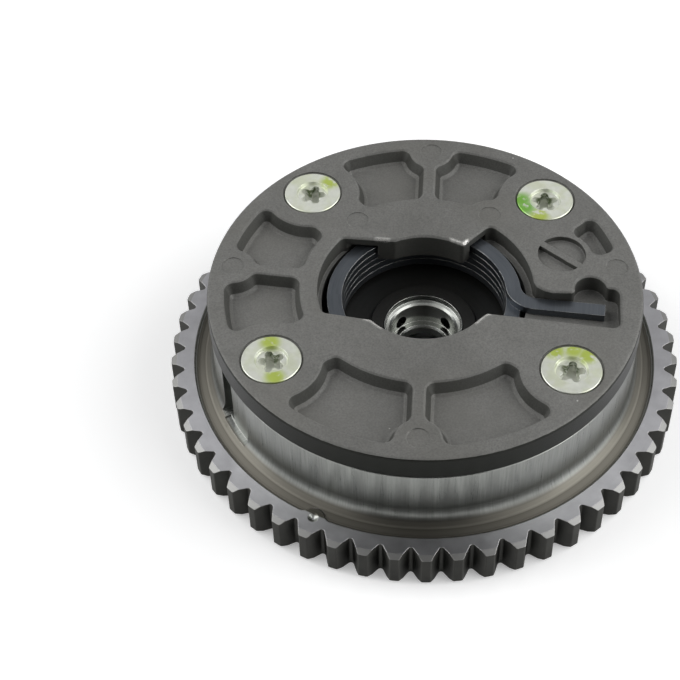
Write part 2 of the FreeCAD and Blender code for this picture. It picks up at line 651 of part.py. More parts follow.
def centre_bush():
    """Steel bush for the centre bolt: lip, bright ring, bore with oil holes, ledge."""
    groove_z0 = OIL_ADVANCE_Z - BUSH_GROOVE_H / 2.0
    groove_z1 = OIL_ADVANCE_Z + BUSH_GROOVE_H / 2.0
    groove_r = BUSH_R - BUSH_GROOVE_DEPTH
    top_z = well_floor_z() + BUSH_STAND
    ring_z = top_z - BUSH_LIP_H
    body = turned(((BOLT_HOLE_R, NOSE_Z), (BUSH_R, NOSE_Z), (BUSH_R, groove_z0), (groove_r, groove_z0),
                   (groove_r, groove_z1), (BUSH_R, groove_z1), (BUSH_R, top_z - 0.3), (BUSH_R - 0.3, top_z),
                   (BUSH_LIP_R + 0.1, top_z), (BUSH_LIP_R, top_z - 0.2), (BUSH_LIP_R, ring_z),
                   (BUSH_LIP_R - 0.6, ring_z - 0.2), (BUSH_BORE_R, ring_z - 0.6),
                   (BUSH_BORE_R, BUSH_LEDGE_Z), (BOLT_HOLE_R + 0.4, BUSH_LEDGE_Z), (BOLT_HOLE_R, BUSH_LEDGE_Z - 0.4)))
    return body.cut([radial_hole(BUSH_OIL_R, a, OIL_ADVANCE_Z, 3.0, BUSH_R + 1.0) for a in BUSH_OIL_ANGLES])


def spring_leg_points():
    """Where the coil leaves its circle, the centre of the bend and the start and tip of the leg."""
    lean = math.radians(-LEG_ANGLE)
    normal = Vector(math.sin(lean), math.cos(lean), 0)
    reach = SPRING_MEAN_R + LEG_BEND_R
    leave = math.degrees(math.asin((LEG_LINE_OFFSET + LEG_BEND_R) / reach)) + LEG_ANGLE
    bend = at_angle(reach, leave)
    start = bend - normal * LEG_BEND_R
    along = Vector(math.cos(lean), -math.sin(lean), 0)
    tip = start + along * ((LEG_TIP_X - start.x) / along.x)
    return leave, bend, start, tip, along, normal


def spring_drop():
    """Height between the lowest end of the coil and the leg."""
    leave = spring_leg_points()[0]
    return SPRING_PITCH * (SPRING_END_ANGLE - leave + 360.0 * SPRING_FULL_TURNS) / 360.0


def well_floor_z():
    """Floor of the rotor's well, just under the coil."""
    return SPRING_Z0 - spring_drop() - SPRING_FLOOR_GAP


def tang_angle():
    """Middle of the tang, which starts at the lowest end of the coil."""
    return SPRING_END_ANGLE + math.degrees(SPRING_WIRE_W / 2.0 / SPRING_MEAN_R) - TANG_BITE_ANGLE


def torsion_spring():
    """Flat wire spring: coil going down, bent leg at the top, tang at the bottom."""
    leave, bend, start, tip, along, normal = spring_leg_points()
    half = SPRING_WIRE_W / 2.0
    drop = spring_drop()
    helix = Part.makeHelix(SPRING_PITCH, drop, SPRING_MEAN_R, 0, True)
    helix.rotate(Vector(0, 0, 0), Vector(0, 0, 1), SPRING_END_ANGLE)
    helix.translate(Vector(0, 0, SPRING_Z0 - drop))
    section = Part.Wire(Part.makePolygon([Vector(r, 0, z) for r, z in (
        (SPRING_MEAN_R - half, 0), (SPRING_MEAN_R + half, 0), (SPRING_MEAN_R + half, SPRING_WIRE_H),
        (SPRING_MEAN_R - half, SPRING_WIRE_H), (SPRING_MEAN_R - half, 0))]))
    section.rotate(Vector(0, 0, 0), Vector(0, 0, 1), SPRING_END_ANGLE)
    section.translate(Vector(0, 0, SPRING_Z0 - drop))
    sweep = Part.BRepOffsetAPI.MakePipeShell(Part.Wire(helix.Edges))
    sweep.setBiNormalMode(Vector(0, 0, 1))
    sweep.add(section)
    sweep.build()
    sweep.makeSolid()
    coil = sweep.shape()
    elbow = largest(disc_face(LEG_BEND_R + half, bend.x, bend.y).cut(disc_face(LEG_BEND_R - half, bend.x, bend.y)))
    reach = 2.0 * (LEG_BEND_R + half)
    back = Vector(-bend.x, -bend.y, 0).normalize() * reach
    down = normal * -reach
    wedge = polygon_face([(p.x, p.y) for p in (bend, bend + back, bend + back + down, bend + down)])
    elbow = largest(elbow.common(wedge))
    sides = (start - normal * half, tip - normal * half, tip + normal * half, start + normal * half)
    leg = polygon_face([(p.x, p.y) for p in sides])
    flat = joined([elbow, leg])
    tang = radial_strip(half, SPRING_MEAN_R, TANG_R, tang_angle())
    tang_z = SPRING_Z0 - drop
    return coil.fuse([prism(flat, SPRING_Z0, SPRING_Z1), prism(tang, tang_z, tang_z + SPRING_WIRE_H)]).removeSplitter()


def seal_bar(r_back, r_front, angle, front_is_outer):
    """Seal strip, its running face curved to the bore or hub it runs on."""
    z0 = ROTOR_Z0 + SEAL_END_CLEARANCE
    z1 = ROTOR_Z1 - SEAL_END_CLEARANCE
    if front_is_outer:
        blank = radial_strip(SEAL_W / 2.0, r_back, r_front + 1.0, angle)
        face = largest(blank.common(disc_face(r_front)))
    else:
        blank = radial_strip(SEAL_W / 2.0, r_front - 1.0, r_back, angle)
        face = largest(blank.cut(disc_face(r_front)))
    return prism(face, z0, z1)


def leaf_spring(r_groove, r_seal, angle):
    """Bowed strip pressing the seal: its ends on the groove floor, its middle on the seal."""
    z0 = ROTOR_Z0 + 1.2
    z1 = ROTOR_Z1 - 1.2
    sign = 1.0 if r_seal > r_groove else -1.0
    low = r_groove + sign * LEAF_GAP
    high = r_seal - sign * LEAF_GAP - sign * LEAF_T
    mid_z = (z0 + z1) / 2.0
    near = Part.Arc(Vector(low, 0, z0), Vector(high, 0, mid_z), Vector(low, 0, z1)).toShape()
    off = sign * LEAF_T
    far = Part.Arc(Vector(low + off, 0, z1), Vector(high + off, 0, mid_z), Vector(low + off, 0, z0)).toShape()
    end1 = Part.makeLine(Vector(low, 0, z1), Vector(low + off, 0, z1))
    end0 = Part.makeLine(Vector(low + off, 0, z0), Vector(low, 0, z0))
    face = Part.Face(Part.Wire([near, end1, far, end0]))
    face.translate(Vector(0, -LEAF_W / 2.0, 0))
    strip = face.extrude(Vector(0, LEAF_W, 0))
    strip.rotate(Vector(0, 0, 0), Vector(0, 0, 1), angle)
    return strip


def vane_seal(i):
    tip = CHAMBER_R - VANE_TIP_CLEARANCE
    return seal_bar(tip - SEAL_H, CHAMBER_R - SEAL_RUN, vane_seal_angle(i), True)


def vane_leaf(i):
    tip = CHAMBER_R - VANE_TIP_CLEARANCE
    return leaf_spring(tip - SEAL_GROOVE_DEPTH, tip - SEAL_H, vane_seal_angle(i))


def lobe_seal(i):
    return seal_bar(LOBE_INNER_R + SEAL_H, HUB_R + SEAL_RUN, SCREW_ANGLES[i], False)


def lobe_leaf(i):
    return leaf_spring(LOBE_INNER_R + SEAL_GROOVE_DEPTH, LOBE_INNER_R + SEAL_H, SCREW_ANGLES[i])


def lock_nose_z():
    return ROTOR_Z0 + LOCK_NOSE_SINK


def lock_pin():
    """Hollow stepped pin, drawn back just clear of its seat."""
    z0 = lock_nose_z()
    collar_z = LOCK_STEP_Z + LOCK_ENGAGE
    top = collar_z + LOCK_COLLAR_H
    c = LOCK_NOSE_CHAMFER
    pin = turned(((0, z0), (LOCK_NOSE_R - c, z0), (LOCK_NOSE_R, z0 + c), (LOCK_NOSE_R, collar_z),
                  (LOCK_COLLAR_R - 0.2, collar_z), (LOCK_COLLAR_R, collar_z + 0.2), (LOCK_COLLAR_R, top - 0.2),
                  (LOCK_COLLAR_R - 0.2, top), (LOCK_HOLLOW_R, top), (LOCK_HOLLOW_R, z0 + LOCK_HOLLOW_FLOOR),
                  (0, z0 + LOCK_HOLLOW_FLOOR)))
    pin.translate(lock_point())
    return pin


def lock_cap_z():
    return ROTOR_Z1 - LOCK_CAP_SINK - LOCK_CAP_T


def lock_pin_cap():
    """Vented disc closing the bore of the lock pin and holding its spring."""
    z0 = lock_cap_z()
    r = LOCK_COLLAR_R + LOCK_SLIDE_CLEARANCE
    cap = turned(((LOCK_VENT_R, z0), (r - 0.2, z0), (r, z0 + 0.2), (r, z0 + LOCK_CAP_T), (LOCK_VENT_R, z0 + LOCK_CAP_T)))
    cap.translate(lock_point())
    return cap


def lock_pin_spring():
    z0 = lock_nose_z() + LOCK_HOLLOW_FLOOR + LOCK_SPRING_WIRE_R + 0.05
    z1 = lock_cap_z() - LOCK_SPRING_WIRE_R - 0.05
    helix = Part.makeHelix((z1 - z0) / LOCK_SPRING_TURNS, z1 - z0, LOCK_SPRING_R)
    section = Part.Wire(Part.makeCircle(LOCK_SPRING_WIRE_R, Vector(LOCK_SPRING_R, 0, 0), Vector(0, 1, 0)))
    spring = Part.Wire(helix.Edges).makePipeShell([section], True, True)
    spring.translate(lock_point(z0))
    return spring


def lock_pin_seat():
    """Hardened ring in the rear plate that takes the nose of the lock pin."""
    inner = LOCK_NOSE_R + LOCK_SEAT_CLEARANCE
    top = REAR_PLATE_T - LOCK_SEAT_SINK
    seat = turned(((inner, LOCK_SEAT_FLOOR), (LOCK_SEAT_R, LOCK_SEAT_FLOOR), (LOCK_SEAT_R, top),
                   (inner + 0.3, top), (inner, top - 0.3)))
    seat.translate(lock_point())
    return seat


def all_pieces():
    pieces = {
        "sprocket_housing": sprocket_housing(),
        "front_cover": front_cover(),
        "rear_plate": rear_plate(),
        "rotor": rotor(),
        "centre_bush": centre_bush(),
        "torsion_spring": torsion_spring(),
        "lock_pin": lock_pin(),
        "lock_pin_cap": lock_pin_cap(),
        "lock_pin_spring": lock_pin_spring(),
        "lock_pin_seat": lock_pin_seat(),
    }
    for i in range(len(SCREW_ANGLES)):
        pieces["cover_screw_%d" % (i + 1)] = cover_screw(screw_points()[i], SCREW_RECESS_TURN[i])
        pieces["vane_seal_%d" % (i + 1)] = vane_seal(i)
        pieces["vane_seal_leaf_%d" % (i + 1)] = vane_leaf(i)
        pieces["lobe_seal_%d" % (i + 1)] = lobe_seal(i)
        pieces["lobe_seal_leaf_%d" % (i + 1)] = lobe_leaf(i)
    return pieces


def main():
    os.makedirs("parts", exist_ok=True)
    for name, shape in all_pieces().items():
        solids = shape.Solids
        piece = solids[0] if len(solids) == 1 else shape
        piece.exportStep("parts/%s.step" % name)
        print(name, len(solids), piece.isValid(), round(piece.Volume, 1))


if __name__ == "__main__":
    main()
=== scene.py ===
import math

import bpy
from mathutils import Matrix, Vector

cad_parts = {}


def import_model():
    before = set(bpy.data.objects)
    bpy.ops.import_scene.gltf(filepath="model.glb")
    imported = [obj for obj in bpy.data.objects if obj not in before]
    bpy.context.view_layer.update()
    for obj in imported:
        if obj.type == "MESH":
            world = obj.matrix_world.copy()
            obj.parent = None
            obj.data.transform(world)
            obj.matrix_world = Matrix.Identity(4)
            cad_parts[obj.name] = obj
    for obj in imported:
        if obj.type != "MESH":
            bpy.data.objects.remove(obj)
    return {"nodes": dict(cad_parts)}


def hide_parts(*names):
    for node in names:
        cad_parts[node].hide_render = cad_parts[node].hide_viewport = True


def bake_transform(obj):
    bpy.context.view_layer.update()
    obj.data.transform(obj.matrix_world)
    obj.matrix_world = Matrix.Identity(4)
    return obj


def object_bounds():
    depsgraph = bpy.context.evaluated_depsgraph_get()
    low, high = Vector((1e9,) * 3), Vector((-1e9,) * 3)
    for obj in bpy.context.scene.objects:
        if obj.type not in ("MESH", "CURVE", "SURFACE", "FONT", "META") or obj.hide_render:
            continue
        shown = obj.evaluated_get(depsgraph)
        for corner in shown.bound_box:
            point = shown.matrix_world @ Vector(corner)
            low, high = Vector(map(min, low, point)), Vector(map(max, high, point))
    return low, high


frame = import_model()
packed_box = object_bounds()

# The frame is in metres, and the sizes of the part below are in millimetres.
MM = 0.001


def reach(name):
    """Largest distance of a piece's mesh from the turning axis."""
    node = frame["nodes"][name]
    corners = [node.matrix_world @ vertex.co for vertex in node.data.vertices]
    return max(math.hypot(corner.x, corner.y) for corner in corners) / MM


# The turning axis is Z and the rear face is at 0.
TOTAL_H = packed_box[1][2] / MM
SPROCKET_T = 8.7
TOOTH_H = 2.9
FACE_W = 2.4
COVER_OVERHANG = 0.2
SCREW_INSET = 8.3
SCREW_ANGLES = (45.3, 132.5, 214.6, 323.5)

COVER_R = reach("front_cover")
BODY_R = COVER_R - COVER_OVERHANG
SCREW_CIRCLE_R = BODY_R - SCREW_INSET
TIP_R = reach("sprocket_housing")
ROOT_R = TIP_R - TOOTH_H
FACE_INNER_R = ROOT_R - FACE_W

# Wear and stains, by their place on the cover face. The last nick lies on the floor of a recess.
OPENING_KNOCKS = ((-8.5, 13.3), (-9.8, 13.2), (6.3, 14.1), (7.4, 13.6), (8.5, 13.0), (-11.4, -9.7),
                  (-10.5, -10.2), (-9.9, -11.0), (-9.2, -11.6), (12.8, -7.7), (12.0, -8.8), (11.4, -9.6))
FACE_NICKS = ((19.3, 39.4), (-17.0, -38.5), (30.5, -30.0))
RECESS_NICK = (-6.2, -35.5, TOTAL_H - 3.1)
YELLOW_STAINS = ((-21.3, 30.8), (-31.0, -16.4), (-29.4, -25.6), (26.6, -17.2), (30.4, -16.8),
                 (33.2, -18.2), (24.6, 21.4))
GREEN_STAINS = ((20.8, 26.0), (21.6, 23.8))
# Where the dark green spot lies in each screw's recess.
DARK_SPOT_SHIFT_Y = 1.4
DARK_SPOT_DEPTH = 1.6

# The angle round the axis becomes a length at this radius, so that streaks have a size in millimetres.
ARC_R = 45.0
# A quarter turn, which draws the gloss out across marks that run round the axis.
ACROSS_MARKS = 0.25
BEVEL_SAMPLES = 6

# Studio, in metres.
MIDDLE = Vector((0.0, 0.0, 0.015))
FLOOR_HALF = 3.0
FLOOR_Z = -0.0002
FLOOR_COLOUR = (0.93, 0.93, 0.93)
CARD_COLOUR = (0.02, 0.02, 0.02)
WHITE = (1.0, 1.0, 1.0)
SKY_COLOUR = (0.96, 0.98, 1.0)
SKY_LIGHT = 0.16
SHADED_R = (0.046, 0.055)
NEAR_GLOW = 0.42
FAR_R = (0.15, 0.70)
FAR_GLOW = 0.58

# The camera was fitted to the photograph: its place and the three directions of its frame.
SENSOR_WIDTH = 36.0
LENS = 86.70
CAMERA_PLACE = (0.0, -0.23301, 0.2802)
CAMERA_ACROSS = (0.9985, 0.048953, -0.024518)
CAMERA_UP = (-0.020968, 0.755586, 0.654714)
CAMERA_BACK = (0.050576, -0.653218, 0.755479)
CAMERA_CLIP = (0.01, 20.0)


def on_face(points):
    """Places on the cover face."""
    return [(x, y, TOTAL_H) for x, y in points]


def dark_spot_places():
    """The place of the dark green spot in each screw's recess, a little behind the screw's middle."""
    places = []
    for angle in SCREW_ANGLES:
        x = SCREW_CIRCLE_R * math.cos(math.radians(angle))
        y = SCREW_CIRCLE_R * math.sin(math.radians(angle))
        places.append((x, y + DARK_SPOT_SHIFT_Y, TOTAL_H - DARK_SPOT_DEPTH))
    return places


class Nodes:
    """Adds nodes to one shader tree."""

    def __init__(self, tree):
        self.tree = tree
        tree.nodes.clear()

    def add(self, kind, **settings):
        node = self.tree.nodes.new(kind)
        for key, value in settings.items():
            setattr(node, key, value)
        return node

    def put(self, socket, value):
        if isinstance(value, bpy.types.NodeSocket):
            self.tree.links.new(value, socket)
        elif isinstance(value, (tuple, list)) and len(value) == 3 and len(socket.default_value) == 4:
            socket.default_value = (*value, 1.0)
        else:
            socket.default_value = value

    def math(self, operation, a, b=0.0):
        node = self.add("ShaderNodeMath", operation=operation)
        self.put(node.inputs[0], a)
        self.put(node.inputs[1], b)
        return node.outputs[0]

    def both(self, a, b):
        return self.math("MULTIPLY", a, b)

    def either(self, a, b):
        return self.math("MAXIMUM", a, b)

    def vector(self, operation, a, b):
        node = self.add("ShaderNodeVectorMath", operation=operation)
        self.put(node.inputs[0], a)
        self.put(node.inputs[1], b)
        return node.outputs

    def length(self, a):
        node = self.add("ShaderNodeVectorMath", operation="LENGTH")
        self.put(node.inputs[0], a)
        return node.outputs["Value"]

    def ramp(self, value, low, high, top):
        """0 below low, top above high, straight in between."""
        node = self.add("ShaderNodeMapRange")
        self.put(node.inputs["Value"], value)
        self.put(node.inputs["From Min"], low)
        self.put(node.inputs["From Max"], high)
        self.put(node.inputs["To Min"], 0.0)
        self.put(node.inputs["To Max"], top)
        return node.outputs["Result"]

    def seen(self):
        """1 for rays from the camera, from a mirror and through glass, and 0 for rays that carry light."""
        ray = self.add("ShaderNodeLightPath")
        mirrored = self.either(ray.outputs["Is Glossy Ray"], ray.outputs["Is Transmission Ray"])
        return self.either(ray.outputs["Is Camera Ray"], mirrored)

    def pick(self, share, a, b):
        node = self.add("ShaderNodeMixShader")
        self.put(node.inputs[0], share)
        self.tree.links.new(a, node.inputs[1])
        self.tree.links.new(b, node.inputs[2])
        return node.outputs[0]


class Surface(Nodes):
    """Shader of one material of the part. Places are in millimetres in the part's own frame."""

    def __init__(self, name):
        self.material = bpy.data.materials.new(name)
        self.material.use_nodes = True
        super().__init__(self.material.node_tree)
        coords = self.add("ShaderNodeTexCoord")
        self.place = self.vector("MULTIPLY", coords.outputs["Object"], (1.0 / MM,) * 3)[0]
        x, y, self.z = self.split(self.place)
        self.up = self.split(coords.outputs["Normal"])[2]
        self.radius = self.length(self.vector("MULTIPLY", self.place, (1.0, 1.0, 0.0))[0])
        self.arc = self.both(self.math("ARCTAN2", y, x), ARC_R)

    def split(self, value):
        node = self.add("ShaderNodeSeparateXYZ")
        self.put(node.inputs[0], value)
        return node.outputs[0], node.outputs[1], node.outputs[2]

    def triple(self, x, y, z):
        node = self.add("ShaderNodeCombineXYZ")
        self.put(node.inputs[0], x)
        self.put(node.inputs[1], y)
        self.put(node.inputs[2], z)
        return node.outputs[0]

    def span(self, value, low, high):
        """0 below low, 1 above high, eased in between; falling where low is the larger."""
        node = self.add("ShaderNodeMapRange", interpolation_type="SMOOTHSTEP")
        rising = low < high
        self.put(node.inputs["Value"], value)
        self.put(node.inputs["From Min"], min(low, high))
        self.put(node.inputs["From Max"], max(low, high))
        self.put(node.inputs["To Min"], 0.0 if rising else 1.0)
        self.put(node.inputs["To Max"], 1.0 if rising else 0.0)
        return node.outputs["Result"]

    def colour(self, share, a, b):
        node = self.add("ShaderNodeMix", data_type="RGBA")
        self.put(node.inputs["Factor"], share)
        self.put(node.inputs[6], a)
        self.put(node.inputs[7], b)
        return node.outputs[2]

    def lay(self, base, colour, mask, share):
        """Lays colour over base where mask is 1, as dense as share."""
        return self.colour(self.both(mask, share), base, colour)

    def blend(self, share, a, b):
        node = self.add("ShaderNodeMix", data_type="FLOAT")
        self.put(node.inputs["Factor"], share)
        self.put(node.inputs[2], a)
        self.put(node.inputs[3], b)
        return node.outputs[0]

    def noise(self, scale, detail=4.0, roughness=0.55, where=None):
        """Cloudy noise with scale features to a millimetre."""
        node = self.add("ShaderNodeTexNoise")
        self.put(node.inputs["Vector"], self.place if where is None else where)
        self.put(node.inputs["Scale"], scale)
        self.put(node.inputs["Detail"], detail)
        self.put(node.inputs["Roughness"], roughness)
        return node.outputs["Fac"]

    def cells(self, scale):
        node = self.add("ShaderNodeTexVoronoi")
        self.put(node.inputs["Vector"], self.place)
        self.put(node.inputs["Scale"], scale)
        return node.outputs["Distance"]

    def spots(self, centres, inner, outer):
        """1 within inner of any centre, 0 beyond outer."""
        found = None
        for centre in centres:
            distance = self.vector("DISTANCE", self.place, centre)["Value"]
            one = self.span(distance, outer, inner)
            found = one if found is None else self.either(found, one)
        return found

    def edges(self, width, low=0.02, high=0.14):
        """1 along the corners of the mesh, within width millimetres."""
        bevel = self.add("ShaderNodeBevel", samples=BEVEL_SAMPLES)
        self.put(bevel.inputs["Radius"], width * MM)
        geometry = self.add("ShaderNodeNewGeometry")
        same = self.vector("DOT_PRODUCT", bevel.outputs["Normal"], geometry.outputs["Normal"])["Value"]
        return self.span(self.math("SUBTRACT", 1.0, same), low, high)

    def shading(self, height, strength, deep, bevel):
        """Normal with corners softened over bevel millimetres and height as relief deep millimetres."""
        soft = self.add("ShaderNodeBevel", samples=BEVEL_SAMPLES)
        self.put(soft.inputs["Radius"], bevel * MM)
        bump = self.add("ShaderNodeBump")
        self.put(bump.inputs["Strength"], strength)
        self.put(bump.inputs["Distance"], deep * MM)
        self.put(bump.inputs["Height"], height)
        self.put(bump.inputs["Normal"], soft.outputs["Normal"])
        return bump.outputs["Normal"]

    def finish(self, colour, metal, rough, normal, specular=0.5, turned=0.0):
        """Closes the shader; turned is how far the gloss is drawn out across marks round the axis."""
        shader = self.add("ShaderNodeBsdfPrincipled")
        if turned:
            tangent = self.add("ShaderNodeTangent", direction_type="RADIAL", axis="Z")
            self.put(shader.inputs["Tangent"], tangent.outputs[0])
            self.put(shader.inputs["Anisotropic"], turned)
            self.put(shader.inputs["Anisotropic Rotation"], ACROSS_MARKS)
        self.put(shader.inputs["Base Color"], colour)
        self.put(shader.inputs["Metallic"], metal)
        self.put(shader.inputs["Roughness"], rough)
        self.put(shader.inputs["Specular IOR Level"], specular)
        self.put(shader.inputs["Normal"], normal)
        out = self.add("ShaderNodeOutputMaterial")
        self.put(out.inputs["Surface"], shader.outputs[0])
        return self.material


def cover_material():
    """Matte dark sintered metal, fine grained, with bright worn corners round the opening."""
    g = Surface("cover_sintered")
    grain = g.noise(2.6, 6.0, 0.7)
    mottle = g.noise(0.16, 5.0, 0.6)
    clouds = g.noise(0.05, 3.0, 0.5)
    pits = g.span(g.cells(0.9), 0.10, 0.02)
    pits = g.both(pits, g.span(g.noise(0.4, 2.0), 0.5, 0.62))
    base = g.colour(mottle, (0.138, 0.138, 0.129), (0.240, 0.238, 0.227))
    base = g.lay(base, (0.098, 0.098, 0.092), g.span(grain, 0.36, 0.66), 0.55)
    base = g.lay(base, (0.150, 0.146, 0.130), g.span(clouds, 0.45, 0.7), 0.35)

    # Painted light and shade: the floors of the recesses are painted a little lighter, their walls painted
    # darker and the outer wall painted darkest, by which way each surface faces.
    floor = g.both(g.span(g.z, TOTAL_H - 0.8, TOTAL_H - 1.6), g.span(g.up, 0.80, 0.95))
    wall = g.span(g.up, 0.75, 0.3)
    outer_wall = g.both(wall, g.span(g.radius, COVER_R - 1.9, COVER_R - 0.9))
    base = g.lay(base, (0.260, 0.258, 0.246), floor, 0.15)
    base = g.lay(base, (0.030, 0.031, 0.026), wall, 0.82)
    base = g.lay(base, (0.008, 0.009, 0.007), outer_wall, 0.98)

    wear = g.both(g.edges(0.45), g.span(g.noise(0.55, 4.0, 0.7), 0.42, 0.72))
    base = g.lay(base, (0.36, 0.355, 0.33), wear, 0.6)
    knocks = g.spots(on_face(OPENING_KNOCKS), 0.5, 1.4)
    knocks = g.both(knocks, g.span(g.noise(1.7, 3.0, 0.7), 0.26, 0.50))
    knocks = g.both(knocks, g.edges(1.0, 0.004, 0.04))
    nicks = g.spots([*on_face(FACE_NICKS), RECESS_NICK], 0.08, 0.24)
    bright = g.either(knocks, g.both(nicks, 0.6))
    base = g.colour(bright, base, (0.72, 0.71, 0.68))
    base = g.lay(base, (0.045, 0.044, 0.041), pits, 0.7)

    metal = g.blend(bright, g.blend(outer_wall, 0.25, 0.8), 1.0)
    rough = g.blend(bright, g.blend(grain, 0.50, 0.72), 0.3)
    rough = g.blend(outer_wall, rough, 0.36)
    height = g.math("SUBTRACT", g.noise(3.4, 7.0, 0.75), g.both(pits, 0.8))
    normal = g.shading(height, strength=0.45, deep=0.03, bevel=0.45)
    return g.finish(base, metal, rough, normal, specular=0.4, turned=0.5)


def housing_material():
    """Machined sintered steel: satin barrel, turned foot and face, tooth flanks and gaps painted dark as
    shade, lighter chamfers.
    """
    g = Surface("housing_machined")

    # Where each part of the piece lies.
    above_face = g.span(g.z, SPROCKET_T + 0.3, SPROCKET_T + 3.3)
    barrel = g.both(g.span(g.radius, BODY_R + 1.3, BODY_R + 0.3), above_face)
    face = g.both(g.span(g.up, 0.9, 0.98), g.span(g.radius, FACE_INNER_R - 0.15, FACE_INNER_R + 0.1))
    inside_face = g.span(g.radius, FACE_INNER_R, FACE_INNER_R - 0.3)
    foot = g.both(g.span(g.radius, BODY_R + 0.3, BODY_R + 1.1), inside_face)
    gutter_shade = g.span(g.radius, BODY_R + 1.9, BODY_R + 2.4)
    teeth = g.both(g.span(g.radius, ROOT_R - 0.8, ROOT_R - 0.1), g.span(g.up, 0.5, 0.2))
    sloped = g.both(g.span(g.up, 0.25, 0.45), g.span(g.up, 0.97, 0.93))
    chamfer = g.both(g.span(g.radius, TIP_R - 1.5, TIP_R - 1.2), sloped)

    # Marks of the tools: upright streaks on the barrel, rings on the foot and the face.
    streaks = g.noise(2.3, 6.0, 0.65, g.triple(g.arc, g.both(g.z, 0.035), 0.0))
    broad = g.noise(0.09, 3.0, 0.5, g.triple(g.arc, g.both(g.z, 0.5), 3.0))
    rings = g.noise(3.0, 4.0, 0.6, g.triple(g.radius, g.z, 0.0))
    grooves = g.span(g.noise(1.0, 2.0, 0.5, g.triple(g.radius, 0.0, 7.0)), 0.46, 0.34)
    turned = g.noise(2.4, 3.0, 0.6, g.triple(0.0, 0.0, g.z))
    mottle = g.noise(0.22, 5.0, 0.6)

    base = g.colour(g.span(streaks, 0.20, 0.80), (0.22, 0.231, 0.218), (0.34, 0.347, 0.330))
    base = g.lay(base, (0.25, 0.258, 0.244), broad, 0.4)
    foot_colour = g.colour(rings, (0.075, 0.071, 0.060), (0.160, 0.153, 0.133))
    # Painted shade in the gutter by the step at the face's inner edge.
    foot_colour = g.lay(foot_colour, (0.030, 0.028, 0.023), gutter_shade, 0.45)
    foot_colour = g.lay(foot_colour, (0.030, 0.028, 0.022), grooves, 0.7)
    face_colour = g.colour(mottle, (0.24, 0.24, 0.256), (0.43, 0.43, 0.458))
    face_colour = g.lay(face_colour, (0.44, 0.435, 0.42), rings, 0.35)
    # Painted shade: the tooth flanks and the gaps between the teeth are painted nearly black.
    teeth_shade_colour = g.colour(mottle, (0.030, 0.030, 0.028), (0.064, 0.064, 0.059))
    base = g.colour(foot, base, foot_colour)
    base = g.colour(face, base, face_colour)
    base = g.colour(teeth, base, teeth_shade_colour)
    base = g.colour(chamfer, base, (0.22, 0.22, 0.215))
    wear = g.both(g.edges(0.35), g.span(g.noise(0.8, 3.0, 0.6), 0.35, 0.6))
    base = g.lay(base, (0.42, 0.41, 0.39), wear, 0.5)

    rough = g.blend(streaks, 0.24, 0.33)
    rough = g.blend(foot, rough, g.blend(rings, 0.34, 0.48))
    rough = g.blend(face, rough, g.blend(mottle, 0.27, 0.42))
    rough = g.blend(teeth, rough, 0.55)
    rough = g.blend(chamfer, rough, 0.44)
    barrel_height = g.math("ADD", g.both(streaks, 0.45), g.both(turned, 0.2))
    height = g.blend(barrel, g.noise(2.5, 5.0, 0.7), barrel_height)
    height = g.blend(foot, height, rings)
    normal = g.shading(height, strength=0.25, deep=0.02, bevel=0.18)
    return g.finish(base, 1.0, rough, normal, turned=0.7)


def screw_material():
    """Zinc plating, silvery with a yellow green cast, stains by each head and a dark green spot in the
    recess.
    """
    g = Surface("screw_zinc")
    mottle = g.noise(0.9, 5.0, 0.65)
    cast = g.span(g.noise(0.28, 3.0, 0.5), 0.40, 0.66)
    base = g.colour(mottle, (0.58, 0.60, 0.53), (0.77, 0.79, 0.72))
    base = g.lay(base, (0.55, 0.60, 0.35), cast, 0.4)

    broken = g.span(g.noise(0.6, 3.0, 0.5), 0.28, 0.46)
    yellow = g.both(g.spots(on_face(YELLOW_STAINS), 0.9, 3.0), broken)
    green = g.both(g.spots(on_face(GREEN_STAINS), 0.8, 3.4), broken)
    base = g.lay(base, (0.42, 0.52, 0.060), yellow, 0.9)
    base = g.lay(base, (0.17, 0.42, 0.045), green, 0.95)

    drive = g.span(g.z, TOTAL_H - 0.5, TOTAL_H - 1.2)
    # A dark green spot near the bottom of each recess, a little behind the screw's middle.
    dark_spot = g.both(g.spots(dark_spot_places(), 1.3, 2.1), g.span(g.noise(1.5, 2.0, 0.5), 0.66, 0.46))
    base = g.lay(base, (0.82, 0.83, 0.78), drive, 0.8)
    base = g.lay(base, (0.060, 0.100, 0.015), g.both(drive, dark_spot), 0.92)

    metal = g.blend(drive, 0.85, 0.35)
    rough = g.blend(drive, g.blend(mottle, 0.30, 0.48), 0.34)
    normal = g.shading(g.noise(2.2, 5.0, 0.7), strength=0.25, deep=0.02, bevel=0.10)
    return g.finish(base, metal, rough, normal)


def spring_material():
    """Blue grey rolled wire with lighter worn corners."""
    g = Surface("spring_blued")
    along = g.triple(g.both(g.radius, 2.4), g.both(g.arc, 2.0 / ARC_R), g.both(g.z, 2.4))
    streaks = g.noise(1.2, 5.0, 0.6, along)
    base = g.colour(streaks, (0.074, 0.082, 0.095), (0.144, 0.158, 0.174))
    wear = g.both(g.edges(0.22), g.span(g.noise(0.7, 3.0, 0.6), 0.3, 0.55))
    base = g.lay(base, (0.50, 0.50, 0.48), wear, 0.7)
    normal = g.shading(streaks, strength=0.2, deep=0.02, bevel=0.12)
    return g.finish(base, 0.9, g.blend(streaks, 0.26, 0.40), normal)


def rotor_material():
    """Dark oiled sintered metal."""
    g = Surface("rotor_dark")
    grain = g.noise(2.2, 6.0, 0.7)
    rings = g.noise(2.2, 3.0, 0.6, g.triple(g.radius, 0.0, g.both(g.z, 0.5)))
    base = g.colour(grain, (0.010, 0.010, 0.0095), (0.028, 0.028, 0.026))
    base = g.lay(base, (0.040, 0.040, 0.038), rings, 0.3)
    normal = g.shading(grain, strength=0.4, deep=0.03, bevel=0.15)
    return g.finish(base, 0.5, g.blend(grain, 0.36, 0.58), normal, specular=0.3)


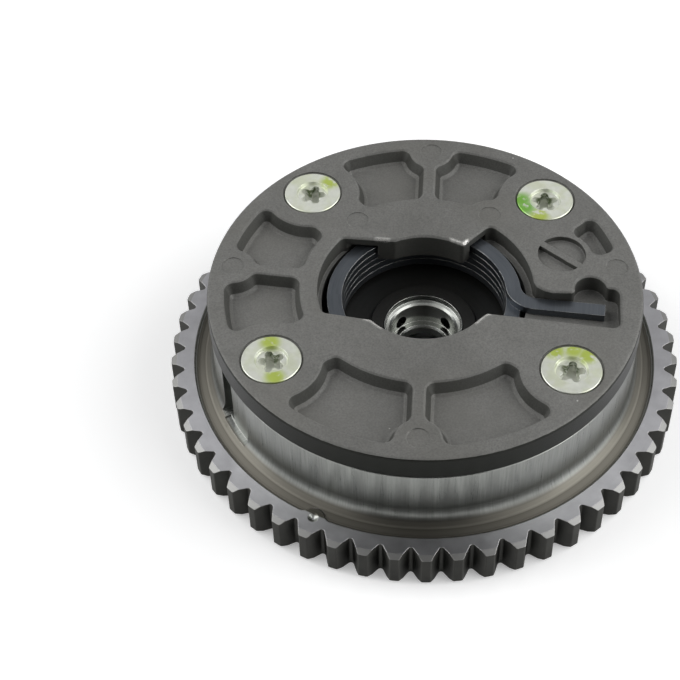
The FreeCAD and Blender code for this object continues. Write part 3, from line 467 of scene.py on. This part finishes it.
def bush_material():
    """Turned steel with a painted highlight along its corners."""
    g = Surface("bush_bright")
    rings = g.noise(3.4, 4.0, 0.6, g.triple(g.radius, 0.0, g.both(g.z, 1.5)))
    mottle = g.noise(0.5, 3.0, 0.6)
    base = g.colour(rings, (0.24, 0.25, 0.235), (0.46, 0.465, 0.44))
    base = g.lay(base, (0.18, 0.19, 0.175), mottle, 0.4)
    # Painted highlight: every corner is painted bright, as a ring of light on the rim.
    base = g.lay(base, (0.70, 0.70, 0.67), g.edges(0.35), 0.6)
    normal = g.shading(rings, strength=0.2, deep=0.015, bevel=0.12)
    return g.finish(base, 1.0, g.blend(rings, 0.16, 0.32), normal)


def steel_material(name, low, high, rough, scale):
    """Plain ground or drawn steel with light variation."""
    g = Surface(name)
    grain = g.noise(scale, 5.0, 0.65)
    drift = g.noise(scale * 0.12, 3.0, 0.5)
    base = g.colour(grain, low, high)
    base = g.lay(base, low, drift, 0.4)
    normal = g.shading(grain, strength=0.2, deep=0.02, bevel=0.10)
    return g.finish(base, 1.0, g.blend(grain, rough, rough + 0.14), normal)


def seal_material():
    """Dark filled plastic."""
    g = Surface("seal_dark")
    grain = g.noise(1.8, 5.0, 0.65)
    base = g.colour(grain, (0.030, 0.028, 0.024), (0.075, 0.070, 0.062))
    normal = g.shading(grain, strength=0.3, deep=0.02, bevel=0.1)
    return g.finish(base, 0.0, g.blend(grain, 0.45, 0.62), normal)


def dress():
    """Gives each piece its material."""
    ground = steel_material("ground_steel", (0.42, 0.42, 0.41), (0.62, 0.62, 0.60), 0.26, 1.6)
    plate = steel_material("rear_plate_steel", (0.30, 0.30, 0.30), (0.47, 0.47, 0.46), 0.32, 0.9)
    wire = steel_material("drawn_wire", (0.30, 0.30, 0.31), (0.50, 0.50, 0.51), 0.30, 2.0)
    screw = screw_material()
    seal = seal_material()
    finishes = {
        "sprocket_housing": housing_material(),
        "front_cover": cover_material(),
        "rear_plate": plate,
        "rotor": rotor_material(),
        "centre_bush": bush_material(),
        "torsion_spring": spring_material(),
        "lock_pin": ground,
        "lock_pin_cap": wire,
        "lock_pin_spring": wire,
        "lock_pin_seat": ground,
    }
    for name, node in frame["nodes"].items():
        if name.startswith("cover_screw"):
            finish = screw
        elif "leaf" in name:
            finish = wire
        elif "seal" in name:
            finish = seal
        else:
            finish = finishes[name]
        node.data.materials.clear()
        node.data.materials.append(finish)


def put_in_scene(name, mesh):
    thing = bpy.data.objects.new(name, mesh)
    bpy.context.scene.collection.objects.link(thing)
    return thing


def copy_of(node_name, name):
    """Copies a piece with its material."""
    node = frame["nodes"][node_name]
    copy = put_in_scene(name, node.data.copy())
    copy.matrix_world = node.matrix_world.copy()
    return copy


def wound_spring():
    """The main spring as one piece, copied from its node, which is hidden; its leg sits in the cover and
    its tang in the rotor.
    """
    coil = copy_of("torsion_spring", "spring_wound")
    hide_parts("torsion_spring")
    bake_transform(coil)


def pin_spring():
    """The lock pin's spring as one piece, from the pin up to the cap, copied from its node, which is
    hidden; the cap moves with the rotor.
    """
    coil = copy_of("lock_pin_spring", "pin_spring_pressed")
    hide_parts("lock_pin_spring")
    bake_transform(coil)


def rectangle(name, across, along, z=0.0):
    """Flat mesh of one face."""
    mesh = bpy.data.meshes.new(name)
    x, y = across / 2.0, along / 2.0
    mesh.from_pydata([(-x, -y, z), (x, -y, z), (x, y, z), (-x, y, z)], [], [(0, 1, 2, 3)])
    return mesh


def aim(thing, place):
    """Puts a lamp or a card at its place and turns it to the middle of the part."""
    thing.location = place
    thing.rotation_mode = "QUATERNION"
    thing.rotation_quaternion = (MIDDLE - Vector(place)).to_track_quat("-Z", "Y")


def floor_material():
    """Pale floor. It reads as white past the part's shadow, and only rays that see it find its glow."""
    material = bpy.data.materials.new("floor_pale")
    material.use_nodes = True
    g = Nodes(material.node_tree)
    plain = g.add("ShaderNodeBsdfDiffuse")
    g.put(plain.inputs["Color"], FLOOR_COLOUR)
    distance = g.length(g.add("ShaderNodeNewGeometry").outputs["Position"])
    near = g.ramp(distance, *SHADED_R, NEAR_GLOW)
    far = g.ramp(distance, *FAR_R, FAR_GLOW)
    glow = g.add("ShaderNodeEmission")
    g.put(glow.inputs["Color"], WHITE)
    g.put(glow.inputs["Strength"], g.math("ADD", far, near))
    total = g.add("ShaderNodeAddShader")
    g.tree.links.new(plain.outputs[0], total.inputs[0])
    g.tree.links.new(glow.outputs[0], total.inputs[1])
    out = g.add("ShaderNodeOutputMaterial")
    g.put(out.inputs["Surface"], g.pick(g.seen(), plain.outputs[0], total.outputs[0]))
    return material


def floor():
    mesh = rectangle("floor", 2.0 * FLOOR_HALF, 2.0 * FLOOR_HALF, FLOOR_Z)
    mesh.materials.append(floor_material())
    put_in_scene("floor", mesh)


def world():
    """Even dim light from all round. The camera and bare metal see it as white."""
    made = bpy.data.worlds.new("studio")
    bpy.context.scene.world = made
    made.use_nodes = True
    g = Nodes(made.node_tree)
    dim = g.add("ShaderNodeBackground")
    g.put(dim.inputs["Color"], SKY_COLOUR)
    g.put(dim.inputs["Strength"], SKY_LIGHT)
    white = g.add("ShaderNodeBackground")
    g.put(white.inputs["Color"], WHITE)
    g.put(white.inputs["Strength"], 1.0)
    out = g.add("ShaderNodeOutputWorld")
    g.put(out.inputs["Surface"], g.pick(g.seen(), dim.outputs[0], white.outputs[0]))


def card_material():
    material = bpy.data.materials.new("card_dark")
    material.use_nodes = True
    g = Nodes(material.node_tree)
    cloth = g.add("ShaderNodeBsdfDiffuse")
    g.put(cloth.inputs["Color"], CARD_COLOUR)
    out = g.add("ShaderNodeOutputMaterial")
    g.put(out.inputs["Surface"], cloth.outputs[0])
    return material


def card(name, place, size, material):
    """Dark card out of the camera's sight. Bare metal takes its dark side from it."""
    mesh = rectangle(name, *size)
    mesh.materials.append(material)
    thing = put_in_scene(name, mesh)
    aim(thing, place)
    thing.visible_camera = False


def lamp(name, place, size, power):
    """Soft box of size metres and power watts."""
    data = bpy.data.lights.new(name, "AREA")
    data.shape = "RECTANGLE"
    data.size, data.size_y = size
    data.energy = power
    aim(put_in_scene(name, data), place)


def lights():
    """Soft boxes left and right, high and low, and dark cards on the camera's side and above."""
    lamp("left_box", (-0.50, 0.08, 0.45), (0.60, 0.50), 2.15)
    lamp("right_box", (0.51, 0.0, 0.46), (0.80, 0.50), 2.95)
    lamp("low_right", (0.52, -0.11, 0.12), (0.36, 0.16), 0.60)
    lamp("low_left", (-0.50, -0.04, 0.10), (0.30, 0.16), 0.30)
    cloth = card_material()
    card("front_card", (0.0, -0.62, 0.29), (0.66, 0.66), cloth)
    card("roof_card", (0.0, 0.15, 0.95), (0.30, 1.3), cloth)


def camera():
    """Camera at the photograph's place."""
    data = bpy.data.cameras.new("camera")
    data.sensor_width = SENSOR_WIDTH
    data.lens = LENS
    data.clip_start, data.clip_end = CAMERA_CLIP
    eye = put_in_scene("camera", data)
    turn = Matrix((CAMERA_ACROSS, CAMERA_UP, CAMERA_BACK)).transposed().to_4x4()
    eye.matrix_world = Matrix.Translation(CAMERA_PLACE) @ turn
    bpy.context.scene.camera = eye


dress()
wound_spring()
pin_spring()
floor()
world()
lights()
camera()
bpy.context.scene.view_settings.view_transform = "Standard"
